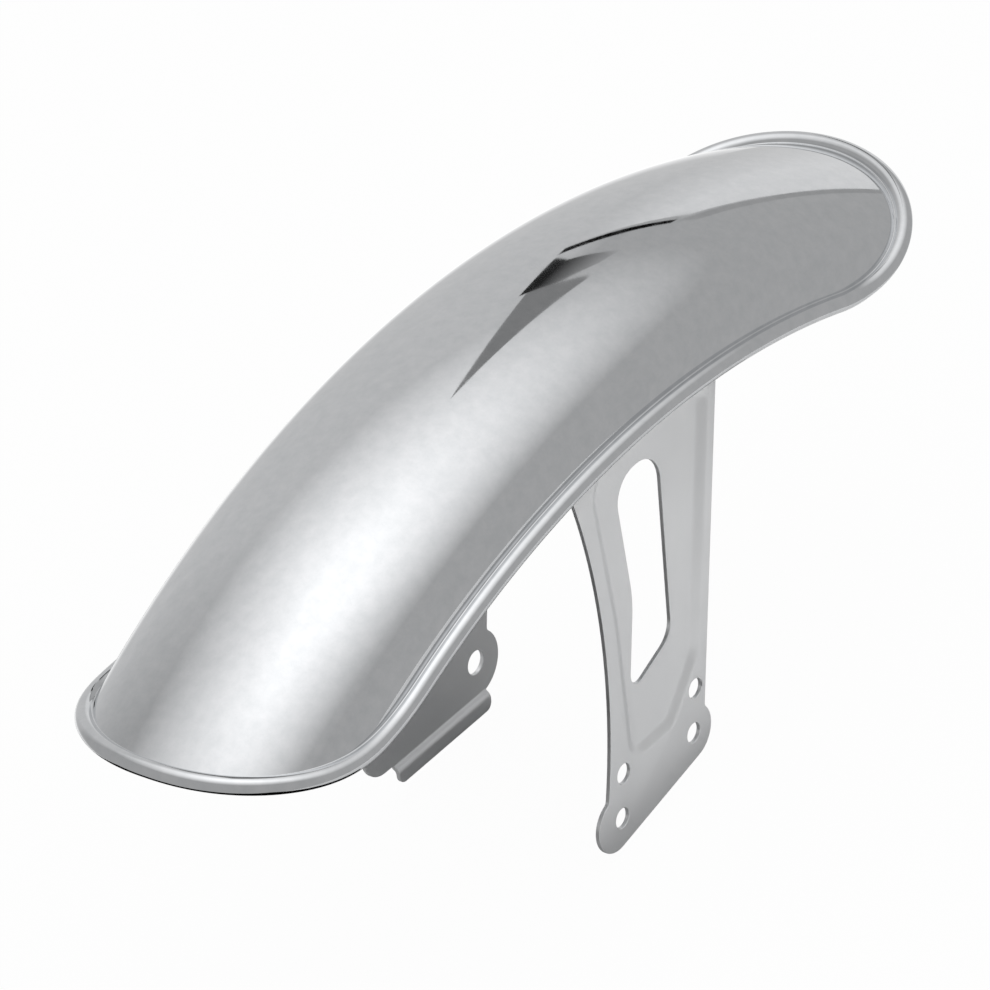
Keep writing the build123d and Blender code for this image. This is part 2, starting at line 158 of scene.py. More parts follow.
@dataclass(frozen=True)
class MirrorChrome:
    """Decorative chrome plating over buffed steel.

    The plating is a near mirror. Buffing leaves a faint haze that varies in patches, wiping leaves
    a thin cloudy film, and the pressed sheet under it has a very slight waviness, which bends
    straight reflections. Lengths and heights are in millimetres.
    """

    name: str = "Mirror_chrome_plate"
    colour: str = "#D9DBDD"
    cloud_colour: str = "#E2E3E5"
    cloud_length: float = 4.5
    cloud_span: tuple[float, float] = (0.32, 0.68)
    cloud_detail: float = 5.0
    cloud_breakup: float = 0.65
    roughness: float = 0.022
    haze: float = 0.06
    haze_patch: float = 14.0
    haze_span: tuple[float, float] = (0.35, 0.75)
    haze_detail: float = 6.0
    haze_breakup: float = 0.6
    wave_length: float = 30.0
    wave_height: float = 0.010
    wave_detail: float = 1.0
    ripple_length: float = 3.5
    ripple_height: float = 0.0012
    ripple_detail: float = 2.0

    def build(self) -> bpy.types.Material:
        """Make the plating's node material."""
        material, tree = empty_material(self.name)
        place = add_node(tree, "ShaderNodeTexCoord")
        patches = add_node(
            tree,
            "ShaderNodeTexNoise",
            {
                "Scale": 1 / (self.haze_patch * MM),
                "Detail": self.haze_detail,
                "Roughness": self.haze_breakup,
            },
            {"Vector": place.outputs["Object"]},
        )
        haze = add_node(
            tree,
            "ShaderNodeMapRange",
            {
                "From Min": self.haze_span[0],
                "From Max": self.haze_span[1],
                "To Min": self.roughness,
                "To Max": self.roughness + self.haze,
            },
            {"Value": patches.outputs["Fac"]},
        )
        waves = add_node(
            tree,
            "ShaderNodeTexNoise",
            {"Scale": 1 / (self.wave_length * MM), "Detail": self.wave_detail},
            {"Vector": place.outputs["Object"]},
        )
        bump = add_node(
            tree,
            "ShaderNodeBump",
            {"Strength": 1.0, "Distance": self.wave_height * MM},
            {"Height": waves.outputs["Fac"]},
        )
        ripples = add_node(
            tree,
            "ShaderNodeTexNoise",
            {"Scale": 1 / (self.ripple_length * MM), "Detail": self.ripple_detail},
            {"Vector": place.outputs["Object"]},
        )
        bump = add_node(
            tree,
            "ShaderNodeBump",
            {"Strength": 1.0, "Distance": self.ripple_height * MM},
            {"Height": ripples.outputs["Fac"], "Normal": bump.outputs["Normal"]},
        )
        clouds = add_node(
            tree,
            "ShaderNodeTexNoise",
            {
                "Scale": 1 / (self.cloud_length * MM),
                "Detail": self.cloud_detail,
                "Roughness": self.cloud_breakup,
            },
            {"Vector": place.outputs["Object"]},
        )
        film = add_node(
            tree,
            "ShaderNodeMapRange",
            {"From Min": self.cloud_span[0], "From Max": self.cloud_span[1]},
            {"Value": clouds.outputs["Fac"]},
        )
        tint = add_node(
            tree,
            "ShaderNodeMix",
            {MIX_FIRST: linear_colour(self.colour), MIX_SECOND: linear_colour(self.cloud_colour)},
            {MIX_SHARE: film.outputs["Result"]},
            data_type="RGBA",
        )
        plating = add_node(
            tree,
            "ShaderNodeBsdfPrincipled",
            {"Metallic": 1.0},
            {
                "Base Color": tint.outputs[MIX_RESULT],
                "Roughness": haze.outputs["Result"],
                "Normal": bump.outputs["Normal"],
            },
        )
        add_node(tree, "ShaderNodeOutputMaterial", links={"Surface": plating.outputs["BSDF"]})
        return material


@dataclass(frozen=True)
class SatinPlate:
    """Dull chrome plating over pressed steel that was only deburred, not buffed.

    The rolled steel's fine grain shows through, so it reflects as a soft light grey sheen that is
    duller in patches. Sizes are in millimetres.
    """

    name: str = "Satin_chrome_plate"
    colour: str = "#F2F3F4"
    roughness: float = 0.34
    dull_patch: float = 0.08
    patch_size: float = 16.0
    patch_span: tuple[float, float] = (0.3, 0.7)
    patch_detail: float = 4.0
    grain: float = 0.35
    grain_height: float = 0.004
    grain_strength: float = 0.6
    grain_detail: float = 3.0

    def build(self) -> bpy.types.Material:
        """Make the plating's node material."""
        material, tree = empty_material(self.name)
        place = add_node(tree, "ShaderNodeTexCoord")
        grain = add_node(
            tree,
            "ShaderNodeTexNoise",
            {"Scale": 1 / (self.grain * MM), "Detail": self.grain_detail},
            {"Vector": place.outputs["Object"]},
        )
        bump = add_node(
            tree,
            "ShaderNodeBump",
            {"Strength": self.grain_strength, "Distance": self.grain_height * MM},
            {"Height": grain.outputs["Fac"]},
        )
        patches = add_node(
            tree,
            "ShaderNodeTexNoise",
            {"Scale": 1 / (self.patch_size * MM), "Detail": self.patch_detail},
            {"Vector": place.outputs["Object"]},
        )
        dullness = add_node(
            tree,
            "ShaderNodeMapRange",
            {
                "From Min": self.patch_span[0],
                "From Max": self.patch_span[1],
                "To Min": self.roughness,
                "To Max": self.roughness + self.dull_patch,
            },
            {"Value": patches.outputs["Fac"]},
        )
        plating = add_node(
            tree,
            "ShaderNodeBsdfPrincipled",
            {"Base Color": linear_colour(self.colour), "Metallic": 1.0},
            {"Roughness": dullness.outputs["Result"], "Normal": bump.outputs["Normal"]},
        )
        add_node(tree, "ShaderNodeOutputMaterial", links={"Surface": plating.outputs["BSDF"]})
        return material


class End(Enum):
    """The two rounded ends of the blade."""

    REAR = -1
    FRONT = 1


@dataclass(frozen=True)
class BladeShape:
    """Formula of the arched blade, with the same sizes as its CAD solid."""

    crown_radius: float = 375.2
    crown_height: float = 162.0
    arch_lead: float = 16.9
    arch_half_angle: float = 29.45
    half_width: float = 48.0
    crown_rise: float = 28.8
    skirt_depth: float = 2.3
    front_round: float = 67.6
    front_power: float = 2.2
    rear_round: float = 60.8
    rear_power: float = 2.0

    @property
    def axis_height(self) -> float:
        """Height of the wheel's axis."""
        return self.crown_height - self.crown_radius

    def section_lengths(self, steps: int = 400) -> list[float]:
        """Distance over the sheet from the crown to each of many equal angles of the section."""
        lengths = [0.0]
        last = (0.0, 0.0)
        for i in range(1, steps + 1):
            angle = math.pi / 2 * i / steps
            here = (self.half_width * math.sin(angle), self.crown_rise * (1 - math.cos(angle)))
            lengths.append(lengths[-1] + math.dist(last, here))
            last = here
        return lengths

    def place(self, angle: float, across: float, depth: float) -> Vector:
        """Point at an angle ahead of the arch's middle, across it and below the crown."""
        radius = self.crown_radius - depth
        ahead = self.arch_lead + radius * math.sin(angle)
        return Vector((ahead, across, self.axis_height + radius * math.cos(angle)))

    def normal(self, point: Vector) -> Vector:
        """Outward direction of the outer face at one of its points."""
        from_axis = Vector((point.x - self.arch_lead, 0.0, point.z - self.axis_height))
        lift = (self.crown_rise - (self.crown_radius - from_axis.length)) / self.crown_rise**2
        if lift <= 0:
            return Vector((0.0, math.copysign(1.0, point.y), 0.0))
        sideways = Vector((0.0, point.y / self.half_width**2, 0.0))
        return (from_axis.normalized() * lift + sideways).normalized()


class BladeEdge:
    """Follows the crease where the sheet turns into its rolled rim."""

    side_turn = 90.0
    corner_turn = 45.0
    probe_turn = 0.02

    def __init__(self, shape: BladeShape) -> None:
        """Measure the section once.

        Args:
            shape: Sizes of the blade.
        """
        self.shape = shape
        self.lengths = shape.section_lengths()
        self.flat_half = self.lengths[-1] + shape.skirt_depth

    def section_at(self, flat: float) -> tuple[float, float]:
        """Distance across and depth of the section at a signed distance over the sheet."""
        shape = self.shape
        reach = min(abs(flat), self.flat_half)
        if reach >= self.lengths[-1]:
            depth = shape.crown_rise + reach - self.lengths[-1]
            return math.copysign(shape.half_width, flat), depth
        low, high = 0, len(self.lengths) - 1
        while high - low > 1:
            middle = (low + high) // 2
            low, high = (middle, high) if self.lengths[middle] <= reach else (low, middle)
        part = (reach - self.lengths[low]) / (self.lengths[high] - self.lengths[low])
        angle = math.pi / 2 * (low + part) / (len(self.lengths) - 1)
        depth = shape.crown_rise * (1 - math.cos(angle))
        return math.copysign(shape.half_width * math.sin(angle), flat), depth

    def row(self, turn: float, end: End) -> tuple[float, float]:
        """Arch angle and half width over the sheet where the rounded end has turned so far.

        Args:
            turn: Degrees from the tip, at 0, to the straight side, at 90.
            end: Which end of the blade.

        Returns:
            Angle ahead of the arch's middle in radians, and half width in millimetres.
        """
        shape = self.shape
        length, power = shape.rear_round, shape.rear_power
        if end is End.FRONT:
            length, power = shape.front_round, shape.front_power
        ratio = math.sin(math.radians(turn)) ** (2 / power)
        setback = length * (1 - max(1 - ratio**power, 0.0) ** (1 / power))
        angle = math.radians(shape.arch_half_angle) - setback / shape.crown_radius
        return angle * end.value, self.flat_half * ratio

    def point(self, turn: float, end: End) -> Vector:
        """Point of the crease; turn is signed, below 0 on the right side and above 0 on the left."""
        angle, half_flat = self.row(abs(turn), end)
        across, depth = self.section_at(math.copysign(half_flat, turn))
        return self.shape.place(angle, across, depth)

    def frame(self, turn: float, end: End) -> tuple[Vector, Vector, Vector]:
        """Point of the crease, the way out of the sheet's edge and the face's normal."""
        here = self.point(turn, end)
        normal = self.shape.normal(here)
        to_axis = Vector((self.shape.arch_lead - here.x, 0.0, self.shape.axis_height - here.z)).normalized()
        if abs(turn) >= self.side_turn:
            return here, to_axis, normal
        along = self.point(turn + self.probe_turn, end) - self.point(turn - self.probe_turn, end)
        outward = along.cross(normal).normalized()
        away = Vector((here.x - self.shape.arch_lead, 0.0, 0.0))
        if abs(turn) > self.corner_turn:
            away = to_axis
        return here, outward * math.copysign(1.0, outward.dot(away)), normal


def select_only(piece: bpy.types.Object) -> None:
    """Make one object the active and only selected one."""
    bpy.ops.object.select_all(action="DESELECT")
    piece.select_set(True)
    bpy.context.view_layer.objects.active = piece


def newest(name: str) -> bpy.types.Object:
    """Name the primitive that was just added and return it."""
    piece = bpy.context.active_object
    piece.name = name
    piece.data.name = name
    return piece


def seat_vertices(piece: bpy.types.Object, places: Callable[[Vector], Vector]) -> None:
    """Move each vertex of a primitive to its place on the real shape.

    Args:
        piece: Primitive at the origin.
        places: Gives a vertex's place in millimetres from where the primitive had it.
    """
    for vertex in piece.data.vertices:
        vertex.co = places(vertex.co.copy()) * MM
    piece.data.update()


def point_outwards(piece: bpy.types.Object) -> None:
    """Turn all faces of a closed mesh outwards."""
    select_only(piece)
    bpy.ops.object.mode_set(mode="EDIT")
    bpy.ops.mesh.select_all(action="SELECT")
    bpy.ops.mesh.normals_make_consistent(inside=False)
    bpy.ops.object.mode_set(mode="OBJECT")


def surface_of(piece: bpy.types.Object) -> BVHTree:
    """Surface of a mesh as it is now, for finding the nearest place on it."""
    places = [vertex.co.copy() for vertex in piece.data.vertices]
    return BVHTree.FromPolygons(places, [list(face.vertices) for face in piece.data.polygons])


@dataclass
class ChromedBlade:
    """The arched sheet and the roll round its edge."""

    shape: BladeShape
    finish: bpy.types.Material
    sheet_thickness: float = 1.0
    rim_radius: float = 3.0
    rim_sheet: float = 0.8
    rim_stand_off: float = 0.9
    rim_start: float = 232.0
    rim_end: float = -75.0
    crease_fillet: float = 0.45
    crease_sink: float = 0.03
    tip_turn: float = 1.5
    end_rows: int = 48
    side_rows: int = 116
    across_cells: int = 96
    outer_steps: int = 24
    inner_steps: int = 14
    hem_steps: int = 4
    fillet_steps: int = 6
    merge_gap: float = 0.001

    def __post_init__(self) -> None:
        """Set up the edge that both parts follow."""
        self.edge = BladeEdge(self.shape)

    def end_turns(self) -> list[float]:
        """Turns of a rounded end's rows, from its tip to the straight side."""
        steps = self.end_rows
        return [self.tip_turn + (90 - self.tip_turn) * i / steps for i in range(steps + 1)]

    def rows(self) -> list[tuple[float, float]]:
        """Arch angle and half width of every row, from the rear tip to the front one."""
        rear = [self.edge.row(turn, End.REAR) for turn in self.end_turns()]
        front = [self.edge.row(turn, End.FRONT) for turn in reversed(self.end_turns())]
        start, stop = rear[-1][0], front[0][0]
        side = []
        for i in range(1, self.side_rows):
            side.append((start + (stop - start) * i / self.side_rows, self.edge.flat_half))
        return rear + side + front

    def sheet(self) -> bpy.types.Object:
        """Press the arched sheet from a flat grid and give it its thickness.

        Returns:
            The sheet as a closed mesh at the origin.
        """
        rows = self.rows()
        last = len(rows) - 1
        bpy.ops.object.select_all(action="DESELECT")
        bpy.ops.mesh.primitive_grid_add(x_subdivisions=last, y_subdivisions=self.across_cells, size=1.0)
        sheet = newest("chromed_blade")

        def pressed(flat_place: Vector) -> Vector:
            angle, half_flat = rows[round((flat_place.x + 0.5) * last)]
            across, depth = self.edge.section_at(2 * flat_place.y * half_flat)
            return self.shape.place(angle, across, depth)

        seat_vertices(sheet, pressed)
        modifier = sheet.modifiers.new("sheet thickness", "SOLIDIFY")
        modifier.thickness = self.sheet_thickness * MM
        modifier.offset = -1.0
        modifier.use_even_offset = True
        select_only(sheet)
        bpy.ops.object.modifier_apply(modifier=modifier.name)
        return sheet

    def roll_profile(self) -> list[tuple[float, float]]:
        """Closed C-shaped section of the roll: distances out of the sheet's edge and above it."""
        centre_out = math.sqrt(self.rim_radius**2 - self.rim_stand_off**2)
        inner_radius = self.rim_radius - self.rim_sheet
        hem_radius = self.rim_sheet / 2
        middle_radius = self.rim_radius - hem_radius

        def on_circle(radius: float, degrees: float) -> tuple[float, float]:
            angle = math.radians(degrees)
            return centre_out + radius * math.cos(angle), self.rim_stand_off + radius * math.sin(angle)

        reach = self.rim_radius + self.crease_fillet
        rise = self.crease_fillet - self.rim_stand_off
        fillet_out = centre_out - math.sqrt(reach**2 - rise**2)
        meets = 180 - math.degrees(math.asin(rise / reach))
        places = [on_circle(self.rim_radius, self.rim_start), (0.0, -self.sheet_thickness / 2)]
        places.append((fillet_out, -self.sheet_thickness / 4))
        for i in range(self.fillet_steps):
            angle = math.radians(-90 + (meets - 90) * i / self.fillet_steps)
            above = self.crease_fillet * (1 + math.sin(angle)) - self.crease_sink
            places.append((fillet_out + self.crease_fillet * math.cos(angle), above))
        for i in range(self.outer_steps + 1):
            turned = meets + (self.rim_end - meets) * i / self.outer_steps
            places.append(on_circle(self.rim_radius, turned))
        hem_out, hem_above = on_circle(middle_radius, self.rim_end)
        for i in range(1, self.hem_steps):
            angle = math.radians(self.rim_end) - math.pi * i / self.hem_steps
            turned_out, turned_above = hem_radius * math.cos(angle), hem_radius * math.sin(angle)
            places.append((hem_out + turned_out, hem_above + turned_above))
        for i in range(self.inner_steps + 1):
            turned = self.rim_end + (self.rim_start - self.rim_end) * i / self.inner_steps
            places.append(on_circle(inner_radius, turned))
        return places

    def stations(self) -> list[tuple[Vector, Vector, Vector]]:
        """Frames right round the crease, through the same points as the sheet's edge."""
        turns = self.end_turns()
        rear = [self.edge.frame(turn, End.REAR) for turn in turns]
        rear_right = [self.edge.frame(-turn, End.REAR) for turn in turns]
        front = [self.edge.frame(turn, End.FRONT) for turn in turns]
        front_right = [self.edge.frame(-turn, End.FRONT) for turn in turns]
        sides: dict[int, list[tuple[Vector, Vector, Vector]]] = {1: [], -1: []}
        depth = self.shape.crown_rise + self.shape.skirt_depth
        for angle, _ in self.rows()[len(turns) : -len(turns)]:
            for side, frames in sides.items():
                here = self.shape.place(angle, side * self.shape.half_width, depth)
                outward = Vector((-math.sin(angle), 0.0, -math.cos(angle)))
                frames.append((here, outward, Vector((0.0, float(side), 0.0))))
        return rear + sides[1] + front[::-1] + front_right + sides[-1][::-1] + rear_right[::-1]

    def roll(self) -> bpy.types.Object:
        """Form the roll from a strip that is closed round its section and round the blade.

        Returns:
            The roll as a closed mesh at the origin.
        """
        profile = self.roll_profile()
        stations = self.stations()
        rounds, cells = len(stations), len(profile)
        bpy.ops.object.select_all(action="DESELECT")
        bpy.ops.mesh.primitive_grid_add(x_subdivisions=rounds, y_subdivisions=cells, size=1.0)
        roll = newest("rolled_rim")

        def rolled(flat_place: Vector) -> Vector:
            here, outward, normal = stations[round((flat_place.x + 0.5) * rounds) % rounds]
            out, above = profile[round((flat_place.y + 0.5) * cells) % cells]
            return here + outward * out + normal * above

        seat_vertices(roll, rolled)
        select_only(roll)
        bpy.ops.object.mode_set(mode="EDIT")
        bpy.ops.mesh.select_all(action="SELECT")
        bpy.ops.mesh.remove_doubles(threshold=self.merge_gap * MM)
        bpy.ops.object.mode_set(mode="OBJECT")
        point_outwards(roll)
        return roll

    def build(self) -> bpy.types.Object:
        """Join sheet and roll, shade and finish them, and put them in the CAD node's place."""
        sheet = self.sheet()
        roll = self.roll()
        select_only(sheet)
        roll.select_set(True)
        bpy.ops.object.join()
        blade = bpy.context.active_object
        bpy.ops.object.shade_smooth_by_angle(angle=math.radians(SHARP_ANGLE))
        blade.data.materials.clear()
        blade.data.materials.append(self.finish)
        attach(blade, BODY)
        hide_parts("guard_blade")
        return blade


@dataclass
class PressedStays:
    """The two plate stays: their CAD solids with the press's sharp edges rounded over."""

    nodes: Mapping[str, bpy.types.Object]
    finish: bpy.types.Material
    edge_round: float = 0.3
    edge_segments: int = 2
    flat_angle: float = 0.3
    merge_gap: float = 0.002

    def stay(self, node: str) -> bpy.types.Object:
        """Copy one stay's solid and deburr its edges.

        Args:
            node: Name of the CAD node.

        Returns:
            The stay as a closed mesh at the origin.
        """
        source = self.nodes[node]
        stay = bpy.data.objects.new("deburred_" + node, source.data.copy())
        bpy.context.scene.collection.objects.link(stay)
        select_only(stay)
        bpy.ops.object.mode_set(mode="EDIT")
        bpy.ops.mesh.select_all(action="SELECT")
        bpy.ops.mesh.remove_doubles(threshold=self.merge_gap * MM)
        bpy.ops.object.mode_set(mode="OBJECT")
        point_outwards(stay)
        bpy.ops.object.mode_set(mode="EDIT")
        bpy.ops.mesh.select_all(action="SELECT")
        bpy.ops.mesh.dissolve_limited(angle_limit=math.radians(self.flat_angle))
        bpy.ops.object.mode_set(mode="OBJECT")
        pressed = surface_of(stay)
        bpy.ops.object.shade_smooth_by_angle(angle=math.radians(SHARP_ANGLE))
        modifier = stay.modifiers.new("deburred edges", "BEVEL")
        modifier.width = self.edge_round * MM
        modifier.segments = self.edge_segments
        modifier.limit_method = "ANGLE"
        modifier.angle_limit = math.radians(SHARP_ANGLE)
        modifier.use_clamp_overlap = False
        modifier.harden_normals = True
        bpy.ops.object.modifier_apply(modifier=modifier.name)
        self.put_strays_back(stay, pressed)
        stay.data.materials.clear()
        stay.data.materials.append(self.finish)
        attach(stay, BODY)
        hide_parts(node)
        return stay

    def put_strays_back(self, stay: bpy.types.Object, pressed: BVHTree) -> None:
        """Put corners that the rounding threw off the sheet back on its surface.

        Args:
            stay: The stay with its edges rounded.
            pressed: Its surface before the rounding.
        """
        strays = 0
        for vertex in stay.data.vertices:
            near, _, _, distance = pressed.find_nearest(vertex.co)
            if distance > self.edge_round / 2 * MM:
                vertex.co = near
                strays += 1
        stay.data.update()
        log.info("%s: %d corners put back on the sheet", stay.name, strays)

    def build(self) -> list[bpy.types.Object]:
        """Make both stays."""
        return [self.stay(node) for node in ("left_stay", "right_stay")]


# The tent's cloth by elevation in degrees: one plain grey for each wall, which passes evenly to white
# overhead. A white reflector stands low behind on the right.
LEFT_BACK_WALL = [(30, "#989898"), (80, "#FAFAFA")]
RIGHT_BACK_WALL = [
    (-60, "#707070"),
    (-46, "#B0B0B0"),
    (-31, "#ECECEC"),
    (-14, "#B0B0B0"),
    (40, "#B0B0B0"),
    (80, "#FAFAFA"),
]
FRONT_WALL = [(40, "#949494"), (85, "#FAFAFA")]


@dataclass(frozen=True)
class Card:
    """A card hung just inside the tent, which the crown mirrors as a shape of its own.

    Corners are azimuths, from forwards towards the left, and elevations, in degrees. The colour is
    how the card looks in the plating. Where fade_to is given, it turns to that colour between the
    two azimuths of fade.
    """

    name: str
    corners: tuple[tuple[float, float], ...]
    colour: str
    fade_to: str = ""
    fade: tuple[float, float] = (0.0, 1.0)


@dataclass(frozen=True)
class PaintedDarkSheet:
    """A strip of dark sheet on the table that only the plating sees, for painted shade and painted dark
    reflections, by its rear right and front left corners in millimetres.
    """

    name: str
    colour: str
    low: tuple[float, float]
    high: tuple[float, float]


CARDS = (
    Card(
        "light_card",
        ((-143, 20.5), (-158, 20.5), (-164.4, 13), (-169.5, 4), (-172.5, -3), (-172.5, -40), (-143, -40)),
        "#AFAFAF",
        fade_to="#C4C4C4",
        fade=(-144.0, -154.0),
    ),
    Card(
        "shade_strip",
        (
            (-158, 22.5),
            (-161.5, 22.5),
            (-167, 14),
            (-173, 3),
            (-176, -3),
            (-171.7, -3),
            (-169.2, 4),
            (-164, 13.4),
        ),
        "#8A8A8A",
    ),
    Card(
        "grey_flag",
        (
            (-148, 56),
            (-151.5, 50),
            (-156.8, 36),
            (-155.5, 35.2),
            (-150, 34.4),
            (-144.2, 32.5),
            (-145.2, 41),
        ),
        "#737373",
    ),
    Card(
        "dark_flag",
        (
            (-143.1, 33),
            (-150, 34.2),
            (-154.5, 32),
            (-155.5, 29.5),
            (-150, 27.8),
            (-146, 26.6),
            (-143.1, 23.6),
        ),
        "#1E1E1E",
        fade_to="#929292",
        fade=(-145.5, -156.0),
    ),
    Card(
        "black_line",
        ((-157.4, 22.9), (-150, 23), (-143, 22.6), (-143, 20.9), (-150, 21.4), (-157.4, 21.9)),
        "#060606",
    ),
)
# Dark sheets laid on the table where only the plating sees them, for painted shade and painted reflections.
PAINTED_DARK_SHEETS = (
    # Painted shade: a grey sheet under the mudguard, seen only in reflections, that darkens what the far
    # stay's inner face mirrors.
    PaintedDarkSheet("grey_painted_shade", "#C6C6C6", (-150.0, -74.0), (96.0, 60.0)),
    # Painted reflection: a near-black sheet, seen only in reflections, that lays a black accent along the
    # front end's rolled rim.
    PaintedDarkSheet("black_painted_reflection", "#080808", (100.0, -150.0), (262.0, 100.0)),
)


@dataclass
class Studio:
    """Floor, light tent and camera. Lengths are in millimetres and turns in degrees."""

    floor_height: float
    floor_size: float = 30000.0
    floor_colour: str = "#F2F2F2"
    floor_glow: float = 0.97
    world_light: float = 0.6
    paper_colour: str = "#FDFDFD"
    paper_radius: float = 260.0
    paper_segments: int = 64
    paper_lift: float = 0.2
    dark_sheet_lift: float = 0.4
    tent_radius: float = 40000.0
    tent_segments: int = 96
    tent_rings: int = 48
    back_seam: tuple[float, float] = (-150.0, -143.0)
    right_seam: tuple[float, float] = (-110.0, -85.0)
    left_seam: tuple[float, float] = (80.0, 115.0)
    card_share: float = 0.97
    metal_reflectance: float = 0.70
    camera_place: tuple[float, float, float] = (1693.0, 1474.6, 1646.1)
    camera_aim: tuple[float, float, float] = (25.75, 0.0, 98.62)
    camera_roll: float = 9.637
    focal_length: float = 308.9
    sensor_width: float = 36.0

    def camera(self) -> bpy.types.Object:
        """Set up the camera at the photograph's viewing angle."""
        data = bpy.data.cameras.new("camera")
        data.sensor_fit = "HORIZONTAL"
        data.sensor_width = self.sensor_width
        data.lens = self.focal_length
        camera = bpy.data.objects.new("camera", data)
        bpy.context.scene.collection.objects.link(camera)
        place = Vector(self.camera_place) * MM
        direction = Vector(self.camera_aim) * MM - place
        level = direction.to_track_quat("-Z", "Y")
        roll = Quaternion((0.0, 0.0, 1.0), math.radians(-self.camera_roll))
        camera.matrix_world = Matrix.Translation(place) @ (level @ roll).to_matrix().to_4x4()
        bpy.context.scene.camera = camera
        return camera

    def world(self) -> None:
        """Give the world a white background."""
        world = bpy.data.worlds.new("white surroundings")
        world.use_nodes = True
        tree = world.node_tree
        tree.nodes.clear()
        path = add_node(tree, "ShaderNodeLightPath")
        seen = add_node(
            tree,
            "ShaderNodeMath",
            links={0: path.outputs["Is Camera Ray"], 1: path.outputs["Is Glossy Ray"]},
            operation="ADD",
        )
        seen = add_node(
            tree,
            "ShaderNodeMath",
            links={0: seen.outputs[0], 1: path.outputs["Is Transmission Ray"]},
            operation="ADD",
            use_clamp=True,
        )
        strength = add_node(
            tree,
            "ShaderNodeMapRange",
            {"To Min": self.world_light, "To Max": 1.0},
            {"Value": seen.outputs[0]},
        )
        glow = add_node(
            tree,
            "ShaderNodeBackground",
            {"Color": (1.0, 1.0, 1.0, 1.0)},
            {"Strength": strength.outputs["Result"]},
        )
        add_node(tree, "ShaderNodeOutputWorld", links={"Surface": glow.outputs["Background"]})
        bpy.context.scene.world = world

    def floor(self) -> bpy.types.Object:
        """Lay the pale floor, which keeps a faint shadow."""
        material, tree = empty_material("White_paper_floor")
        path = add_node(tree, "ShaderNodeLightPath")
        paper = add_node(tree, "ShaderNodeBsdfDiffuse", {"Color": linear_colour(self.floor_colour)})
        glow = add_node(tree, "ShaderNodeEmission", {"Color": (1.0, 1.0, 1.0, 1.0), "Strength": 1.0})
        share = add_node(
            tree,
            "ShaderNodeMath",
            {1: self.floor_glow},
            {0: path.outputs["Is Camera Ray"]},
            operation="MULTIPLY",
        )
        mixed = add_node(
            tree,
            "ShaderNodeMixShader",
            links={0: share.outputs[0], 1: paper.outputs[0], 2: glow.outputs[0]},
        )
        add_node(tree, "ShaderNodeOutputMaterial", links={"Surface": mixed.outputs[0]})
        bpy.ops.object.select_all(action="DESELECT")
        bpy.ops.mesh.primitive_plane_add(
            size=self.floor_size * MM, location=(0.0, 0.0, self.floor_height * MM)
        )
        floor = newest("floor")
        floor.data.materials.append(material)
        floor.visible_glossy = False
        floor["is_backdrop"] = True
        return floor

    def cloth_ramp(
        self, tree: bpy.types.NodeTree, height: bpy.types.Node, stops: list[tuple[float, str]]
    ) -> bpy.types.NodeSocket:
        """Brightness of one stretch of the tent's wall by elevation.

        Args:
            tree: Node tree of the cloth.
            height: Node that runs from 0 straight down to 1 straight up.
            stops: Elevations in degrees with their sRGB hex colours.

        Returns:
            The ramp's colour output.
        """
        ramp = add_node(tree, "ShaderNodeValToRGB", links={0: height.outputs[0]})
        fill_ramp(ramp, [((elevation + 90) / 180, colour) for elevation, colour in stops])
        return ramp.outputs[0]

    def tent_material(self) -> bpy.types.Material:
        """Make the tent's cloth: white overhead, greyer down its walls, lighter behind on the right."""
        material, tree = empty_material("Light_tent_cloth")
        place = add_node(tree, "ShaderNodeTexCoord")
        direction = add_node(
            tree, "ShaderNodeVectorMath", links={0: place.outputs["Object"]}, operation="NORMALIZE"
        )
        parts = add_node(tree, "ShaderNodeSeparateXYZ", links={0: direction.outputs[0]})
        sine = add_node(tree, "ShaderNodeMath", links={0: parts.outputs["Z"]}, operation="ARCSINE")
        height = add_node(
            tree,
            "ShaderNodeMapRange",
            {"From Min": -math.pi / 2, "From Max": math.pi / 2},
            {"Value": sine.outputs[0]},
        )

        turn = add_node(
            tree,
            "ShaderNodeMath",
            links={0: parts.outputs["Y"], 1: parts.outputs["X"]},
            operation="ARCTAN2",
        )
        left_back = self.cloth_ramp(tree, height, LEFT_BACK_WALL)
        right_back = self.cloth_ramp(tree, height, RIGHT_BACK_WALL)
        front = self.cloth_ramp(tree, height, FRONT_WALL)

        def sewn(
            first: bpy.types.NodeSocket, second: bpy.types.NodeSocket, seam: tuple[float, float]
        ) -> bpy.types.NodeSocket:
            """Pass from one stretch of cloth to the next between two azimuths."""
            share = add_node(
                tree,
                "ShaderNodeMapRange",
                {"From Min": math.radians(seam[0]), "From Max": math.radians(seam[1])},
                {"Value": turn.outputs[0]},
            )
            joined = add_node(
                tree,
                "ShaderNodeMix",
                links={MIX_SHARE: share.outputs["Result"], MIX_FIRST: first, MIX_SECOND: second},
                data_type="RGBA",
            )
            return joined.outputs[MIX_RESULT]

        behind = sewn(left_back, right_back, self.back_seam)
        right = sewn(behind, front, self.right_seam)
        stage_surface = sewn(right, left_back, self.left_seam)
        glow = add_node(
            tree, "ShaderNodeEmission", {"Strength": 1 / self.metal_reflectance}, {"Color": stage_surface}
        )
        add_node(tree, "ShaderNodeOutputMaterial", links={"Surface": glow.outputs[0]})
        return material

